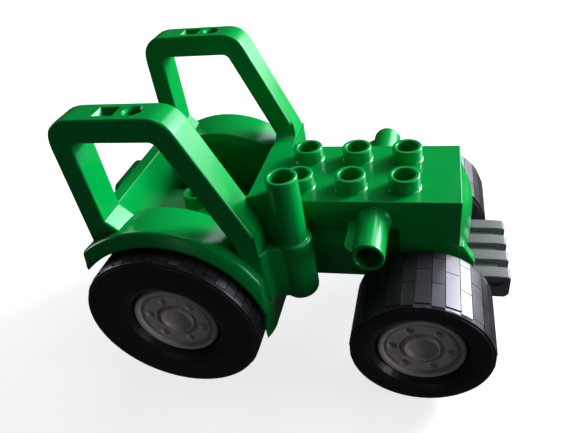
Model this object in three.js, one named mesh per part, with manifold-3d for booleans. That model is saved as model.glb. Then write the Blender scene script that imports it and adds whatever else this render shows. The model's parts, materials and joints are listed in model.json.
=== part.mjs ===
// Toy farm tractor: moulded green body on a dark grey chassis, four wheels on two axles.
// Millimetres, +X towards the nose, +Y to the left side, +Z up, wheels standing on z = 0.
import * as THREE from "three";
import Module from "manifold-3d";

const wasm = await Module();
wasm.setup();

// ---- driving dimensions -------------------------------------------------------------------
const STUD_PITCH = 16;
const STUD_R = 4.7;
const STUD_BORE_R = 3.3;
const STUD_HEIGHT = 4.5;
const STUD_X0 = 0;

const HOOD_TOP = 57.6;
const HOOD_HALF_WIDTH = 15.9;
const HOOD_REAR_X = -15.3;
const HOOD_FRONT_X = 48.6;
const HOOD_BULGE = 3.8;
const HOOD_BOTTOM = 26.6;
const HOOD_WALL = 1.8;
const BULKHEAD_THICK = 1.9;
const NOSE_BOTTOM = 34.6;
const PANEL_STEP_Z = 47.6;
const PANEL_STEP_X = 30.6;
const PANEL_RECESS = 1.5;

const BAR_IN_Y = 23.8;
const BAR_OUT_Y = 33.2;
const BAR_TOP = 93.6;
const SLOT_DEPTH = 4;
const SLOT_HALF_WIDTH = 2.3;
const SLOT_REAR_X = -40.6;
const SLOT_FRONT_X = -37;
const SLOT_RAMP = 2;
const PIN_HOLE_X = -32.8;
const PIN_HOLE_R = 2.1;

const CAB_HALF_WIDTH = 22;
const CAB_WALL = 1.6;
const CAB_FLOOR = 36;
const REAR_WALL_X = -57.5;
const REAR_WALL_THICK = 4.5;
const REAR_WALL_TOP = 60.8;
const SEAT_TOP = 45.1;
const SEAT_STUD_X = -39.6;
const SEAT_FRONT_X = -31.6;
const SEAT_HALF_WIDTH = 8;

const FENDER_OUT_Y = 37.4;
const FENDER_R = 33.1;
const FENDER_INNER_R = 28.6;
const FENDER_LIP_R = 31.2;
const FENDER_REAR_X = -60.8;
const FENDER_START = 10;
const FENDER_LEAVE = 109;
const FENDER_END = 141;
const FENDER_SLOPE = 0.3;
const CROWN_SAG = 0.014;
const INNER_SAG = 0.0215;
const PANEL_X = -7.6;
const PANEL_BACK_X = -9.5;
const PANEL_INNER_Y = 13.6;
const PANEL_BOTTOM = 19.4;
const FLARE_TOP = 42;
const FLARE_DEPTH = 20;
const SWEEP_Y = 18.2;
const SWEEP_HEIGHT = 6;
const SWEEP_LEAN = 0.3;
const BRACKET_TOP = 64.5;
const BRACKET_SLOPE = 0.29;

const STUB_X = 23.4;
const STUB_Z = 50.7;
const STUB_R = 4.7;
const STUB_BORE_R = 3.5;
const STUB_END_Y = 32.5;

const PIPE_X = 0.3;
const PIPE_Y = -24;
const PIPE_TOP = 71.7;
const PIPE_R = 4.4;
const PIPE_BORE_R = 3.3;
const PIPE_BASE_R = 5.6;
const PIPE_COLLAR_Z = 50.6;
const PIPE_BASE_Z = 29.4;

const FRONT_AXLE_X = 38.3;
const FRONT_AXLE_Z = 21.3;
const FRONT_TYRE_R = 21.3;
const FRONT_OUT_Y = 42.1;
const FRONT_IN_Y = 18.2;
const REAR_AXLE_X = -37.6;
const REAR_AXLE_Z = 27.4;
const REAR_TYRE_R = 27.4;
const REAR_OUT_Y = 42.1;
const REAR_IN_Y = 23.8;
const FRONT_HUB_R = 12.9;
const REAR_HUB_R = 13.5;
const HUB_INSET = 3.2;
const AXLE_R = 1.5;
const FIT = 0.3;

const CHASSIS_HALF_WIDTH = 10.4;
const CHASSIS_TOP = 28.4;
const CHASSIS_BOTTOM = 23.4;
const BEAM_REAR_X = -55;
const BEAM_FRONT_X = 48;
const HITCH_REAR_X = -61;
const HITCH_BOTTOM = 22;
const WEIGHT_PITCH = 8.05;
const WEIGHT_WIDTH = 4.8;
const WEIGHT_FRONT_X = 65;
const WEIGHT_TOP = 28.4;
const WEIGHT_BOTTOM = 19.4;
const HITCH_HALF_WIDTH = 9.3;
const TAB_X = -63.4;
const TAB_THICK = 3.6;
const TAB_TOP = 57.4;
const TAB_BOTTOM = 36;
const TAB_HALF_WIDTH = 9.3;
const TAB_CORNER = 3;

const SIDES = [-1, 1];

// ---- solids -------------------------------------------------------------------------------
function solid(geometry) {
  const source = geometry.index ? geometry.toNonIndexed() : geometry;
  const position = source.attributes.position;
  const lookup = new Map();
  const vertices = [];
  const triangles = [];
  for (let i = 0; i < position.count; i += 1) {
    const p = [position.getX(i), position.getY(i), position.getZ(i)];
    const key = p.map((value) => Math.round(value * 1e4)).join(" ");
    if (!lookup.has(key)) {
      lookup.set(key, vertices.length / 3);
      vertices.push(...p);
    }
    triangles.push(lookup.get(key));
  }
  const kept = [];
  for (let i = 0; i < triangles.length; i += 3) {
    const [a, b, c] = triangles.slice(i, i + 3);
    if (a !== b && b !== c && c !== a) kept.push(a, b, c);
  }
  const mesh = new wasm.Mesh({
    numProp: 3,
    vertProperties: new Float32Array(vertices),
    triVerts: new Uint32Array(kept),
  });
  return new wasm.Manifold(mesh);
}

function geometryOf(body) {
  const mesh = body.getMesh();
  const geometry = new THREE.BufferGeometry();
  const positions = new Float32Array(mesh.vertProperties);
  geometry.setAttribute("position", new THREE.BufferAttribute(positions, 3));
  geometry.setIndex(new THREE.BufferAttribute(new Uint32Array(mesh.triVerts), 1));
  const flat = geometry.toNonIndexed();
  flat.computeVertexNormals();
  return flat;
}

function box(x0, x1, y0, y1, z0, z1) {
  const geometry = new THREE.BoxGeometry(x1 - x0, y1 - y0, z1 - z0);
  geometry.translate((x0 + x1) / 2, (y0 + y1) / 2, (z0 + z1) / 2);
  return solid(geometry);
}

function shapeOf(points) {
  return new THREE.Shape(points.map(([u, v]) => new THREE.Vector2(u, v)));
}

// Outline in X and Z, pulled along Y from y0 to y1.
function sidePrism(points, y0, y1) {
  const options = { depth: y1 - y0, bevelEnabled: false };
  const geometry = new THREE.ExtrudeGeometry(shapeOf(points), options);
  geometry.rotateX(Math.PI / 2);
  geometry.translate(0, y1, 0);
  return solid(geometry);
}

// Outline in X and Y, pulled along Z from z0 to z1.
function planPrism(points, z0, z1) {
  const options = { depth: z1 - z0, bevelEnabled: false };
  const geometry = new THREE.ExtrudeGeometry(shapeOf(points), options);
  geometry.translate(0, 0, z0);
  return solid(geometry);
}

// Outline in Y and Z, pulled along X from x0 to x1.
function frontPrism(points, x0, x1) {
  const options = { depth: x1 - x0, bevelEnabled: false };
  const geometry = new THREE.ExtrudeGeometry(shapeOf(points), options);
  const turn = new THREE.Matrix4().makeBasis(
    new THREE.Vector3(0, 1, 0),
    new THREE.Vector3(0, 0, 1),
    new THREE.Vector3(1, 0, 0),
  );
  geometry.applyMatrix4(turn);
  geometry.translate(x0, 0, 0);
  return solid(geometry);
}

function uprightCylinder(x, y, z0, z1, radius, sides = 24) {
  const geometry = new THREE.CylinderGeometry(radius, radius, z1 - z0, sides);
  geometry.rotateX(Math.PI / 2);
  geometry.translate(x, y, (z0 + z1) / 2);
  return solid(geometry);
}

function crossCylinder(x, z, y0, y1, radius, sides = 48) {
  const geometry = new THREE.CylinderGeometry(radius, radius, y1 - y0, sides);
  geometry.translate(x, (y0 + y1) / 2, z);
  return solid(geometry);
}

function unite(pieces) {
  return pieces.reduce((sum, piece) => sum.add(piece));
}

function arc(cx, cz, radius, from, to, steps) {
  const points = [];
  for (let i = 0; i <= steps; i += 1) {
    const angle = THREE.MathUtils.degToRad(from + ((to - from) * i) / steps);
    points.push([cx + radius * Math.cos(angle), cz + radius * Math.sin(angle)]);
  }
  return points;
}

// Puts a span of widths on the side asked for: -1 right, +1 left.
function span(side, inner, outer) {
  return side < 0 ? [-outer, -inner] : [inner, outer];
}

// ---- body ---------------------------------------------------------------------------------
function stud(x, y, z) {
  const outside = uprightCylinder(x, y, z - 0.5, z + STUD_HEIGHT, STUD_R);
  const bore = uprightCylinder(x, y, z, z + STUD_HEIGHT + 1, STUD_BORE_R);
  return outside.subtract(bore);
}

function hoodStuds() {
  const studs = [];
  for (let row = 0; row < 3; row += 1) {
    for (const side of SIDES) {
      studs.push(stud(STUD_X0 + row * STUD_PITCH, (side * STUD_PITCH) / 2, HOOD_TOP));
    }
  }
  return unite(studs);
}

function hoodNose() {
  const w = HOOD_HALF_WIDTH;
  const points = [[HOOD_FRONT_X - 2, -w]];
  for (let i = 0; i <= 12; i += 1) {
    const y = -w + (2 * w * i) / 12;
    points.push([HOOD_FRONT_X + HOOD_BULGE * (1 - (y / w) ** 2), y]);
  }
  points.push([HOOD_FRONT_X - 2, w]);
  return planPrism(points, NOSE_BOTTOM, HOOD_TOP - 3);
}

function hood() {
  const w = HOOD_HALF_WIDTH;
  const low = w - PANEL_RECESS;
  const upper = box(HOOD_REAR_X, HOOD_FRONT_X, -w, w, PANEL_STEP_Z, HOOD_TOP);
  const front = box(PANEL_STEP_X, HOOD_FRONT_X, -w, w, 30.6, HOOD_TOP);
  const lower = box(HOOD_REAR_X, HOOD_FRONT_X, -low, low, HOOD_BOTTOM, HOOD_TOP);
  return unite([upper, front, lower, hoodNose()]);
}

function hoodHollow() {
  const w = HOOD_HALF_WIDTH - PANEL_RECESS - HOOD_WALL;
  const top = HOOD_TOP - HOOD_WALL;
  return box(HOOD_REAR_X + HOOD_WALL, HOOD_FRONT_X - HOOD_WALL, -w, w, HOOD_BOTTOM - 1, top);
}

// Wall between the hood and the cab.
function bulkhead() {
  const w = BAR_IN_Y + 1;
  return box(HOOD_REAR_X, HOOD_REAR_X + BULKHEAD_THICK, -w, w, HOOD_BOTTOM, HOOD_TOP);
}

// Upright wall ahead of the rear tyre. Its outer edge flares out to the fender's width.
function frontPanel(side) {
  const points = [[side * PANEL_INNER_Y, HOOD_TOP - 0.2], [side * PANEL_INNER_Y, PANEL_BOTTOM]];
  const steps = 8;
  for (let i = 0; i <= steps; i += 1) {
    const z = PANEL_BOTTOM + ((FLARE_TOP - PANEL_BOTTOM) * i) / steps;
    const flare = THREE.MathUtils.smoothstep(FLARE_TOP - z, 0, FLARE_DEPTH);
    points.push([side * (BAR_OUT_Y + (FENDER_OUT_Y - 0.3 - BAR_OUT_Y) * flare), z]);
  }
  points.push([side * BAR_OUT_Y, HOOD_TOP - 0.2]);
  return frontPrism(points, PANEL_BACK_X, PANEL_X);
}

// Hollow curve that sweeps the deck up into the inner face of each front leg.
function legSweep(side) {
  const outer = BAR_IN_Y + 0.6;
  const points = [[side * outer, HOOD_TOP - 6], [side * (SWEEP_Y - 6), HOOD_TOP - 6]];
  points.push([side * (SWEEP_Y - 6), HOOD_TOP - 0.1]);
  const steps = 8;
  for (let i = 0; i <= steps; i += 1) {
    const t = i / steps;
    const rise = SWEEP_HEIGHT * (1 - Math.sqrt(1 - t * t * 0.96));
    points.push([side * (SWEEP_Y + (outer - SWEEP_Y) * t), HOOD_TOP - 0.1 + rise]);
  }
  const top = HOOD_TOP + SWEEP_HEIGHT + 4;
  const lean = SWEEP_LEAN * (top - HOOD_TOP);
  const ahead = [[PANEL_X, HOOD_TOP], [PANEL_X + 3, HOOD_TOP], [PANEL_X + 3, top], [PANEL_X - lean, top]];
  const [y0, y1] = span(side, SWEEP_Y - 8, outer + 1);
  return frontPrism(points, HOOD_REAR_X + 0.5, PANEL_X).subtract(sidePrism(ahead, y0, y1));
}

function stub(side) {
  const [y0, y1] = span(side, HOOD_HALF_WIDTH - 2, STUB_END_Y);
  const [f0, f1] = span(side, HOOD_HALF_WIDTH - 2, STUB_END_Y - 1.6);
  const tube = crossCylinder(STUB_X, STUB_Z, y0, y1, STUB_R, 28);
  const fin = box(STUB_X - STUB_R - 2.6, STUB_X, f0, f1, STUB_Z - 0.8, STUB_Z + 0.8);
  return tube.add(fin);
}

function stubBore(side) {
  const [y0, y1] = span(side, HOOD_HALF_WIDTH + 0.5, STUB_END_Y + 1);
  return crossCylinder(STUB_X, STUB_Z, y0, y1, STUB_BORE_R, 28);
}

function exhaust() {
  const base = uprightCylinder(PIPE_X, PIPE_Y, PIPE_BASE_Z, PIPE_COLLAR_Z, PIPE_BASE_R, 28);
  const pipe = uprightCylinder(PIPE_X, PIPE_Y, PIPE_COLLAR_Z - 1, PIPE_TOP, PIPE_R, 28);
  const bore = uprightCylinder(PIPE_X, PIPE_Y, PIPE_COLLAR_Z + 4, PIPE_TOP + 1, PIPE_BORE_R, 28);
  return base.add(pipe).subtract(bore);
}

// Thin plate from the exhaust up to the front leg, and the thick foot that joins its base to the panel.
function exhaustBracket() {
  const low = PIPE_COLLAR_Z - 2;
  const rear = PANEL_X - 4.5;
  const front = PIPE_X - PIPE_BORE_R - 0.3;
  const plate = [[rear, low], [front, low], [front, BRACKET_TOP + BRACKET_SLOPE * (front - rear)],
    [rear, BRACKET_TOP]];
  const reach = PIPE_BASE_R - 0.6;
  const foot = [[PANEL_X - 0.5, PIPE_Y - 7.4], [PANEL_X + 1.4, PIPE_Y - 6], [PANEL_X + 3.8, PIPE_Y - reach],
    [PIPE_X, PIPE_Y - reach], [PIPE_X, PIPE_Y + 8.5], [PANEL_X - 0.5, PIPE_Y + 8.5]];
  return unite([
    sidePrism(plate, PIPE_Y - 0.9, PIPE_Y + 0.9),
    planPrism(foot, PIPE_BASE_Z + 1.5, PIPE_COLLAR_Z - 0.5),
  ]);
}

function rollBar(side) {
  const outline = [
    [-57.5, 55], [-56.5, 87], [-55.6, 89.6], [-53, 91.8], [-49.5, 93.2], [-46, BAR_TOP],
    [-28, BAR_TOP], [-25, 92.6], [-22.8, 90.2], [-20.7, 86.9], [-11.1, 64.4], [-8.4, 59.6],
    [-7.6, 56], [-7.6, 32], [-16, 32], [-16, 55],
  ];
  const window = [
    [-51.1, 61.6], [-50.3, 85.4], [-49.2, 86.6], [-47.6, 87], [-28.4, 87], [-26.6, 85.7],
    [-15.6, 58.8], [-15.6, 56], [-47, 56], [-47, 57.8],
  ];
  const [y0, y1] = span(side, BAR_IN_Y, BAR_OUT_Y);
  return sidePrism(outline, y0, y1).subtract(sidePrism(window, y0 - 1, y1 + 1));
}

function barPockets(side) {
  const mid = (side * (BAR_IN_Y + BAR_OUT_Y)) / 2;
  const floor = BAR_TOP - SLOT_DEPTH;
  const w = SLOT_HALF_WIDTH;
  const rear = SLOT_REAR_X;
  const slot = box(rear, SLOT_FRONT_X, mid - w, mid + w, floor, BAR_TOP + 1);
  const ramp = [[rear - 0.1, floor], [rear - 0.1, BAR_TOP + 0.5], [rear - SLOT_RAMP, BAR_TOP + 0.5]];
  const hole = uprightCylinder(PIN_HOLE_X, mid, floor, BAR_TOP + 1, PIN_HOLE_R);
  return unite([slot, sidePrism(ramp, mid - w, mid + w), hole]);
}

// Point on an arch over the rear tyre. Behind the crown the arch runs out nearly straight.
function guardPoint(radius, degrees, sag) {
  const turn = THREE.MathUtils.degToRad(Math.min(degrees, FENDER_LEAVE));
  const x = REAR_AXLE_X + radius * Math.cos(turn);
  const z = REAR_AXLE_Z + radius * Math.sin(turn);
  const share = Math.max(0, (degrees - FENDER_LEAVE) / (FENDER_END - FENDER_LEAVE));
  const run = share * (x - FENDER_REAR_X);
  return [Math.min(x - run, PANEL_X), z - FENDER_SLOPE * run - sag * run * run];
}

function fender(side) {
  const [y0, y1] = span(side, CAB_HALF_WIDTH, FENDER_OUT_Y);
  const over = [];
  const under = [];
  const steps = 36;
  for (let i = 0; i <= steps; i += 1) {
    const degrees = FENDER_START + ((FENDER_END - FENDER_START) * i) / steps;
    if (degrees > 24) over.push(guardPoint(FENDER_R, degrees, CROWN_SAG));
    under.push(guardPoint(FENDER_INNER_R, degrees, INNER_SAG));
  }
  return sidePrism([[PANEL_X, under[0][1]], ...over, ...under.reverse()], y0, y1);
}

function fenderShoulder(side) {
  const [y0, y1] = span(side, BAR_OUT_Y + 1.4, FENDER_OUT_Y + 1);
  const outer = arc(REAR_AXLE_X, REAR_AXLE_Z, 45, 150, 0, 12);
  const inner = arc(REAR_AXLE_X, REAR_AXLE_Z, FENDER_LIP_R, -4, 150, 24);
  return sidePrism([...outer, ...inner], y0, y1);
}

function cabTub() {
  const w = CAB_HALF_WIDTH + CAB_WALL;
  const back = box(REAR_WALL_X, REAR_WALL_X + REAR_WALL_THICK, -BAR_OUT_Y, BAR_OUT_Y, 46, REAR_WALL_TOP);
  const low = box(REAR_WALL_X, REAR_WALL_X + REAR_WALL_THICK, -w, w, CAB_FLOOR - CAB_WALL, 47);
  const floor = box(REAR_WALL_X, HOOD_REAR_X + 1, -w, w, CAB_FLOOR - CAB_WALL, CAB_FLOOR);
  const s = SEAT_HALF_WIDTH;
  const seat = box(REAR_WALL_X + 2, SEAT_FRONT_X, -s, s, CAB_FLOOR - 0.5, SEAT_TOP);
  const walls = SIDES.map((side) => {
    const [y0, y1] = span(side, CAB_HALF_WIDTH, w);
    return box(REAR_WALL_X, HOOD_REAR_X + 1, y0, y1, CAB_FLOOR - CAB_WALL, 56);
  });
  return unite([back, low, floor, seat, stud(SEAT_STUD_X, 0, SEAT_TOP), ...walls]);
}

// Upright tab behind the rear wall, with rounded top corners, standing on a low shelf.
function rearTab() {
  const w = TAB_HALF_WIDTH;
  const points = [[-w, TAB_BOTTOM], [w, TAB_BOTTOM]];
  for (const side of [1, -1]) {
    const from = side > 0 ? 0 : 90;
    points.push(...arc(side * (w - TAB_CORNER), TAB_TOP - TAB_CORNER, TAB_CORNER, from, from + 90, 6));
  }
  const shelf = box(TAB_X + 1, REAR_WALL_X + 1, -w + 1, w - 1, TAB_BOTTOM, TAB_BOTTOM + 6);
  return frontPrism(points, TAB_X, TAB_X + TAB_THICK).add(shelf);
}

function noseGusset(side) {
  const y = side * 13.6;
  const points = [[HOOD_FRONT_X, 41.6], [HOOD_FRONT_X + 4.4, 34.8], [HOOD_FRONT_X + 4.4, 31.2],
    [HOOD_FRONT_X - 2, 31.2], [HOOD_FRONT_X - 2, 41.6]];
  return sidePrism(points, y - 1.8, y + 1.8);
}

// Room under the body for the chassis beam and the root of the weights.
function chassisChannel() {
  const w = CHASSIS_HALF_WIDTH + FIT;
  const top = CHASSIS_TOP + FIT;
  const beam = box(-70, 60, -w, w, 10, top);
  const root = box(42.4, 60, -15, 15, 10, top);
  return beam.add(root);
}

function bodyShell() {
  const solids = [hood(), bulkhead(), cabTub(), hoodStuds(), exhaust(), rearTab()];
  solids.push(exhaustBracket());
  for (const side of SIDES) {
    solids.push(stub(side), noseGusset(side), rollBar(side), frontPanel(side), legSweep(side));
    solids.push(fender(side).subtract(fenderShoulder(side)));
  }
  let body = unite(solids);
  body = body.subtract(hoodHollow());
  body = body.subtract(chassisChannel());
  for (const side of SIDES) {
    body = body.subtract(stubBore(side));
    body = body.subtract(barPockets(side));
    const [y0, y1] = span(side, CAB_HALF_WIDTH + CAB_WALL, FENDER_OUT_Y + 1);
    body = body.subtract(crossCylinder(REAR_AXLE_X, REAR_AXLE_Z, y0, y1, FENDER_INNER_R, 64));
  }
  return body;
}

// ---- chassis ------------------------------------------------------------------------------
function frontWeights() {
  const plates = [];
  for (let i = 0; i < 4; i += 1) {
    const y = (i - 1.5) * WEIGHT_PITCH;
    const front = WEIGHT_FRONT_X;
    const outline = [
      [44, WEIGHT_BOTTOM + 2], [44, WEIGHT_TOP - 2], [50.6, WEIGHT_TOP], [60.9, WEIGHT_TOP],
      [front - 0.6, WEIGHT_TOP - 0.6], [front, WEIGHT_TOP - 1.6], [front, WEIGHT_BOTTOM + 1.6],
      [front - 1.6, WEIGHT_BOTTOM], [52, WEIGHT_BOTTOM],
    ];
    plates.push(sidePrism(outline, y - WEIGHT_WIDTH / 2, y + WEIGHT_WIDTH / 2));
  }
  const core = box(43, 61.4, -12, 12, WEIGHT_BOTTOM + 1, WEIGHT_TOP - 1.6);
  return unite([...plates, core]);
}

function towHitch() {
  const w = HITCH_HALF_WIDTH;
  return box(HITCH_REAR_X, BEAM_REAR_X + 5, -w, w, HITCH_BOTTOM, CHASSIS_TOP);
}

function bearing(x, z, halfWidth) {
  return box(x - 4.5, x + 4.5, -halfWidth, halfWidth, z - 4, CHASSIS_TOP + 1.5);
}

function chassis() {
  const w = CHASSIS_HALF_WIDTH;
  const beam = box(BEAM_REAR_X, BEAM_FRONT_X, -w, w, CHASSIS_BOTTOM, CHASSIS_TOP);
  let body = unite([
    beam,
    bearing(FRONT_AXLE_X, FRONT_AXLE_Z, w),
    bearing(REAR_AXLE_X, REAR_AXLE_Z, 20),
    frontWeights(),
    towHitch(),
  ]);
  for (const [x, z] of [[FRONT_AXLE_X, FRONT_AXLE_Z], [REAR_AXLE_X, REAR_AXLE_Z]]) {
    body = body.subtract(crossCylinder(x, z, -30, 30, AXLE_R + FIT, 32));
  }
  return body;
}

// ---- wheels -------------------------------------------------------------------------------
function turned(profile, x, z, side, outerY, sides) {
  const points = profile.map(([r, depth]) => new THREE.Vector2(r, -depth));
  const geometry = new THREE.LatheGeometry(points, sides);
  if (side < 0) geometry.rotateX(Math.PI);
  geometry.translate(x, side * outerY, z);
  return solid(geometry);
}

function tyre(x, z, side, radius, hubRadius, outerY, innerY) {
  const width = outerY - innerY;
  const seat = hubRadius + FIT;
  const profile = [
    [seat, 1.2], [seat + 2.2, 0.2], [radius - 2.4, 0], [radius - 0.6, 0.8], [radius, 2.4],
    [radius, width - 2.4], [radius - 0.6, width - 0.8], [radius - 2.4, width],
    [seat + 1, width], [seat, width - 1], [seat, 1.2],
  ];
  return turned(profile.reverse(), x, z, side, outerY, 48);
}

function hub(x, z, side, radius, outerY, innerY) {
  const width = outerY - innerY;
  const face = HUB_INSET;
  const profile = [
    [AXLE_R + 0.05, width + 1.2], [4, width + 1.2], [4, width - 4], [radius - 1.8, width - 4],
    [radius - 1.8, width - 0.6], [radius, width - 0.6], [radius, face - 0.6], [radius - 0.6, face - 1],
    [radius - 1.6, face], [radius - 2, face + 0.9], [6.9, face + 0.6], [6.3, face], [5.5, face],
    [4.9, face + 0.8], [0, face + 1.4], [0, face + 5], [AXLE_R + 0.05, face + 5],
    [AXLE_R + 0.05, width + 1.2],
  ];
  return turned(profile, x, z, side, outerY, 36);
}

function axle(x, z, outerY) {
  const reach = outerY - HUB_INSET - 6;
  return crossCylinder(x, z, -reach, reach, AXLE_R, 24);
}

// ---- materials ----------------------------------------------------------------------------
function greenPlastic() {
  return new THREE.MeshStandardMaterial({ name: "green_plastic", color: 0x00853c, roughness: 0.28 });
}

function darkGreyPlastic() {
  return new THREE.MeshStandardMaterial({ name: "dark_grey_plastic", color: 0x6e7074, roughness: 0.4 });
}

function blackRubber() {
  return new THREE.MeshStandardMaterial({ name: "black_rubber", color: 0x1b1b1e, roughness: 0.5 });
}

function hubPlastic() {
  return new THREE.MeshStandardMaterial({ name: "light_grey_plastic", color: 0x9b918c, roughness: 0.4 });
}

function steel() {
  return new THREE.MeshStandardMaterial({
    name: "steel", color: 0xb8bcc0, roughness: 0.3, metalness: 1,
  });
}

// ---- assembly -----------------------------------------------------------------------------
function node(name, body, material) {
  const mesh = new THREE.Mesh(geometryOf(body), material);
  mesh.name = name;
  return mesh;
}

const tractor = new THREE.Group();
tractor.name = "toy_tractor";
tractor.add(node("body_shell", bodyShell(), greenPlastic()));
tractor.add(node("chassis", chassis(), darkGreyPlastic()));

const WHEELSETS = [
  ["front", FRONT_AXLE_X, FRONT_AXLE_Z, FRONT_TYRE_R, FRONT_HUB_R, FRONT_OUT_Y, FRONT_IN_Y],
  ["rear", REAR_AXLE_X, REAR_AXLE_Z, REAR_TYRE_R, REAR_HUB_R, REAR_OUT_Y, REAR_IN_Y],
];
for (const [end, x, z, tyreR, hubR, outerY, innerY] of WHEELSETS) {
  tractor.add(node(`${end}_axle`, axle(x, z, outerY), steel()));
  for (const side of SIDES) {
    const name = `${end}_${side < 0 ? "right" : "left"}`;
    tractor.add(node(`${name}_tyre`, tyre(x, z, side, tyreR, hubR, outerY, innerY), blackRubber()));
    tractor.add(node(`${name}_hub`, hub(x, z, side, hubR, outerY, innerY), hubPlastic()));
  }
}

export default tractor;
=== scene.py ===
# Toy farm tractor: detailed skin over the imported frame. Lengths are millimetres until MM is applied.
import json
import math

import bmesh
import bpy
from mathutils import Matrix, Vector
from mathutils.geometry import tessellate_polygon

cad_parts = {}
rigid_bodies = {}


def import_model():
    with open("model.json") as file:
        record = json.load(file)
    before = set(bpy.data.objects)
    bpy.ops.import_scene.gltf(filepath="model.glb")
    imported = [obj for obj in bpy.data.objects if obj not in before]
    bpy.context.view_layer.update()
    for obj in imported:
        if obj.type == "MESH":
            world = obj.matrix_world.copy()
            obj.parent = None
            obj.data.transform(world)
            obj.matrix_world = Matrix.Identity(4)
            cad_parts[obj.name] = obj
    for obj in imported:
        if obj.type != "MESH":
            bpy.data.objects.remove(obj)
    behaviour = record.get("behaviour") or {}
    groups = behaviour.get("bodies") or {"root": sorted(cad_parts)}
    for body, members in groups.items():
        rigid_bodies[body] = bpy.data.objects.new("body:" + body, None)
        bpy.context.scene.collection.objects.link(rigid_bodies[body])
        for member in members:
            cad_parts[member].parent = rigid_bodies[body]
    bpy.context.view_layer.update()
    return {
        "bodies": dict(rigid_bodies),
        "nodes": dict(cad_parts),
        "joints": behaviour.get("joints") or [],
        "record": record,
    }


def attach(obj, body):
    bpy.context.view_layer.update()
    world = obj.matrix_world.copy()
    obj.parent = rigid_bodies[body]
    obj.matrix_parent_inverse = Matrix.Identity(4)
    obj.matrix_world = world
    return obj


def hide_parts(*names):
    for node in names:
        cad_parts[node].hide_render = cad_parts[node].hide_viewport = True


MM = 0.001
SIDES = (-1, 1)

# ---- body ----
DECK = 57.6
HOOD_W = 15.9
HOOD_BACK = -15.3
HOOD_FRONT = 48.6
HOOD_BULGE = 3.8
HOOD_BOTTOM = 26.6
STEP_Z = 47.6
STEP_X = 30.6
FRONT_BOTTOM = 30.6
RECESS = 1.5
STUD_R = 4.7
STUD_BORE = 3.3
STUD_HEIGHT = 4.5
STUD_PITCH = 16
SWEEP_Y = 18.2
SWEEP_HEIGHT = 6
SWEEP_LEAN = 0.3
TAB_X = -63.4
TAB_THICK = 3.6
TAB_W = 9.3
TAB_TOP = 57.4
TAB_BOTTOM = 36
SHELF_TOP = 42
BAR_IN = 23.8
BAR_OUT = 33.2
BAR_TOP = 93.6
LEG_FRONT = -7.6
LEG_BOTTOM = 33.2
BAR_FOOT_R = 30.4
SLOT_REAR = -40.6
SLOT_FRONT = -37
SLOT_RAMP = 2.5
SLOT_DEPTH = 4
SLOT_HALF_WIDTH = 2.4
PIN_HOLE_X = -32.7
PIN_HOLE_R = 2.2
PIN_RIM_R = 2.8
CAB_W = 22
CAB_FLOOR = 36
CAB_BOTTOM = 34.4
CAB_WALL = 1.6
BULKHEAD_THICK = 1.9
SEAT_TOP = 45.1
SEAT_STUD_X = -39.6
SEAT_FRONT = -31.6
SEAT_W = 8
WALL_X = -57.5
WALL_THICK = 4.5
WALL_TOP = 60.8
FENDER_OUT = 37.4
FENDER_R = 31.9
FENDER_INNER_R = 28.6
FENDER_BACK = -60.9
FENDER_START = 8
FENDER_LEAVE = 109
FENDER_END = 141
FENDER_SLOPE = 0.3
CROWN_SAG = 0.016
LIP_SAG = 0.0215
CROWN_FROM_R = 31.5
PANEL_X = -7.5
PANEL_BACK = -9.5
PANEL_IN = 13.6
PANEL_FLANK = 3.2
FLARE_TOP = 42
FLARE_DEPTH = 20
LIP_R = 29.7
STUB_X = 23.4
STUB_Z = 50.7
STUB_R = 4.7
STUB_BORE = 3.5
STUB_END = 32.5
FIN_REACH = 7.3
FIN_W = 0.8
PIPE_X = 0.3
PIPE_Y = -24
PIPE_TOP = 71.7
PIPE_R = 4.4
PIPE_BORE = 3.3
BASE_R = 5.6
BASE_TOP = 50.6
BASE_Z = 29.4
BRACKET_TOP = 64.5
BRACKET_BOTTOM = 48
BRACKET_SLOPE = 0.29
BRACKET_W = 0.9
FOOT_REACH = 8.5

# ---- wheels ----
FRONT_AXLE = (38.3, 21.3)
REAR_AXLE = (-37.6, 27.4)
FRONT_R = 21.3
REAR_R = 27.4
FRONT_OUT = 42.1
FRONT_IN = 18.2
REAR_OUT = 42.1
REAR_IN = 23.8
FRONT_HUB_R = 12.9
REAR_HUB_R = 13.5
HUB_INSET = 3.2
BOLT_CIRCLE = 8.6
BOLT_R = 1.4
BOLT_DEPTH = 1.5
BOLT_WALL = 0.35
TYRE_SEAT_GAP = 0.2
TREAD_FLATNESS = 0.6
SHOULDER_WIDTH = 1
SHOULDER_DROP = 0.28

# ---- chassis ----
WEIGHT_PITCH = 8.05
WEIGHT_WIDTH = 4.8
WEIGHT_FRONT = 65
WEIGHT_TOP = 28.4
WEIGHT_BOTTOM = 19.4
BEAM_W = 10.4
BEAM_BACK = -55
BEAM_FRONT = 48
BEAM_TOP = 28.4
BEAM_BOTTOM = 23.4
BEARING_REACH = 4.5
BEARING_TOP = 29.9
REAR_BEARING_W = 20
HITCH_BACK = -61
HITCH_W = 9.3
HITCH_BOTTOM = 22


# ---- mesh helpers -------------------------------------------------------------------------
def thing_from(name, mesh):
    thing = bpy.data.objects.new(name, mesh)
    bpy.context.scene.collection.objects.link(thing)
    return thing


def build(name, points, faces):
    mesh = bpy.data.meshes.new(name)
    mesh.from_pydata([Vector(p) * MM for p in points], [], faces)
    mesh.update()
    return thing_from(name, mesh)


def outward(thing):
    bm = bmesh.new()
    bm.from_mesh(thing.data)
    bmesh.ops.remove_doubles(bm, verts=bm.verts, dist=0.01 * MM)
    bmesh.ops.recalc_face_normals(bm, faces=bm.faces)
    if bm.calc_volume(signed=True) < 0:
        bmesh.ops.reverse_faces(bm, faces=bm.faces)
    bm.to_mesh(thing.data)
    bm.free()
    return thing


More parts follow.
